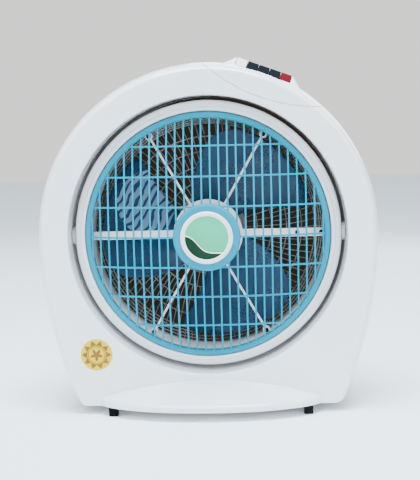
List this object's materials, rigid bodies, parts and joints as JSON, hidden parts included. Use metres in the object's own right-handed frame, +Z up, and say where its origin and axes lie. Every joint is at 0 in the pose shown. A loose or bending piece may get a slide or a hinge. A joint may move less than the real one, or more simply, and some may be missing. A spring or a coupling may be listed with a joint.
{
  "type": "box fan",
  "caption": "Box fan with a horseshoe housing, tilting drum, translucent blades, turning front louvre, push keys and a front lip.",
  "frame": {"origin": "middle of the overall box, on the floor under the feet", "axes": "+X to the right seen from the front, -Y towards the front where the air leaves, +Z up"},
  "size_m": [0.454, 0.18, 0.4681],
  "materials": {
    "white_gloss": "gloss moulded",
    "white_satin": "satin moulded",
    "rear_white": "fine texture",
    "pivot_grey": "satin moulded",
    "foot_rubber": "matte",
    "black_plastic": "satin",
    "key_black": "satin",
    "key_red": "gloss",
    "key_pale": "gloss",
    "screw_steel": "zinc plated",
    "screw_black": "black oxide",
    "gold_foil": "embossed foil",
    "grille_grey": "satin moulded",
    "motor_case": "cast, brushed",
    "lamination": "stacked laminations",
    "coil_stack": "varnished windings",
    "bronze": "sintered",
    "shaft_steel": "ground",
    "wire_red": "insulation",
    "blade_blue": "translucent moulded",
    "nut_blue": "moulded",
    "louvre_cyan": "gloss moulded",
    "label_mint": "printed and domed"
  },
  "bodies": {
    "housing": {"front_shell": "white_gloss", "rear_shell": "rear_white", "control_cover": "white_gloss", "base_lip": "white_gloss", "front_feet": "foot_rubber", "rear_feet": "foot_rubber", "shell_screws": "screw_steel", "pivot_bush_left": "pivot_grey", "pivot_bush_right": "pivot_grey", "key_switch": "black_plastic", "cord_gland": "black_plastic", "run_capacitor": "black_plastic", "wire_harness": "wire_red", "foil_seal": "gold_foil"},
    "drum": {"drum_bezel": "white_satin", "drum_barrel": "white_satin", "rear_grille": "grille_grey", "pivot_pin_left": "pivot_grey", "pivot_pin_right": "pivot_grey", "louvre_carrier": "white_satin", "carrier_screws": "screw_black", "louvre_motor": "motor_case", "motor_front_bell": "motor_case", "motor_rear_bell": "motor_case", "stator": "coil_stack", "shaft_bearings": "bronze", "motor_bonnet": "grille_grey", "bonnet_screws": "screw_steel"},
    "rotor": {"fan_blades": "blade_blue", "motor_shaft": "shaft_steel", "rotor_core": "lamination", "blade_nut": "nut_blue"},
    "louvre": {"louvre_grille": "louvre_cyan", "hub_ring": "white_gloss", "hub_label": "label_mint", "louvre_coupling": "white_satin"},
    "key_louvre_body": {"key_louvre": "key_pale"},
    "key_high_body": {"key_high": "key_black"},
    "key_medium_body": {"key_medium": "key_black"},
    "key_low_body": {"key_low": "key_black"},
    "key_off_body": {"key_off": "key_red"}
  },
  "joints": [
    {"name": "drum_tilt", "type": "hinge", "parent": "housing", "child": "drum", "pos_m": [0, 0, 0.236], "axis": [1, 0, 0], "range_deg": [-90, 30]},
    {"name": "fan_spin", "type": "hinge", "parent": "drum", "child": "rotor", "pos_m": [0, 0, 0.236], "axis": [0, 1, 0], "continuous": true},
    {"name": "louvre_spin", "type": "hinge", "parent": "drum", "child": "louvre", "pos_m": [0, 0, 0.236], "axis": [0, 1, 0], "continuous": true},
    {"name": "key_louvre_press", "type": "slide", "parent": "housing", "child": "key_louvre_body", "axis": [0.342, 0, 0.9397], "range_m": [-0.004, 0], "stiffness_N_per_m": 400, "springref_m": 0.003},
    {"name": "key_high_press", "type": "slide", "parent": "housing", "child": "key_high_body", "axis": [0.342, 0, 0.9397], "range_m": [-0.004, 0], "stiffness_N_per_m": 400, "springref_m": 0.003},
    {"name": "key_medium_press", "type": "slide", "parent": "housing", "child": "key_medium_body", "axis": [0.342, 0, 0.9397], "range_m": [-0.004, 0], "stiffness_N_per_m": 400, "springref_m": 0.003},
    {"name": "key_low_press", "type": "slide", "parent": "housing", "child": "key_low_body", "axis": [0.342, 0, 0.9397], "range_m": [-0.004, 0], "stiffness_N_per_m": 400, "springref_m": 0.003},
    {"name": "key_off_press", "type": "slide", "parent": "housing", "child": "key_off_body", "axis": [0.342, 0, 0.9397], "range_m": [-0.004, 0], "stiffness_N_per_m": 400, "springref_m": 0.003}
  ]
}
